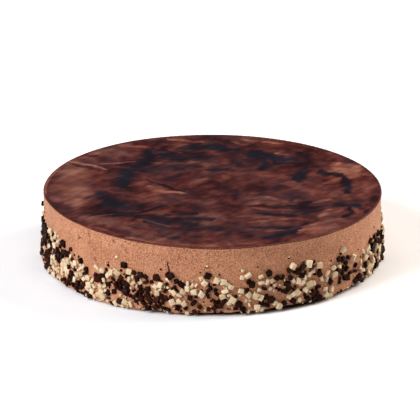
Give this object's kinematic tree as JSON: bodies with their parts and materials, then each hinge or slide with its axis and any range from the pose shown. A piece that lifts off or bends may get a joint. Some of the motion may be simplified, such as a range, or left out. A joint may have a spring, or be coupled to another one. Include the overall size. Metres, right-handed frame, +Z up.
{
  "type": "chocolate mousse cake",
  "caption": "Round chocolate mousse cake on a thin dark sponge base, with a marbled glaze on top and dark and ivory chocolate chips pressed into its lower side.",
  "frame": {"origin": "centre of the cake's underside, where it stands on the table", "axes": "+Z up through the top, +X to the right and -Y to the front of the pictured side"},
  "size_m": [0.2475, 0.2466, 0.0514],
  "materials": {
    "cocoa_sponge": "open dark crumb",
    "milk_chocolate_mousse": "smooth, finely pored, satin",
    "marbled_glaze": "soft gloss, dark chocolate streaks dragged through milk chocolate",
    "dark_chocolate_chips": "satin",
    "ivory_chocolate_chips": "satin"
  },
  "bodies": {
    "root": {"sponge_base": "cocoa_sponge", "mousse_with_chips": "milk_chocolate_mousse", "marbled_glaze": "marbled_glaze"}
  },
  "joints": []
}
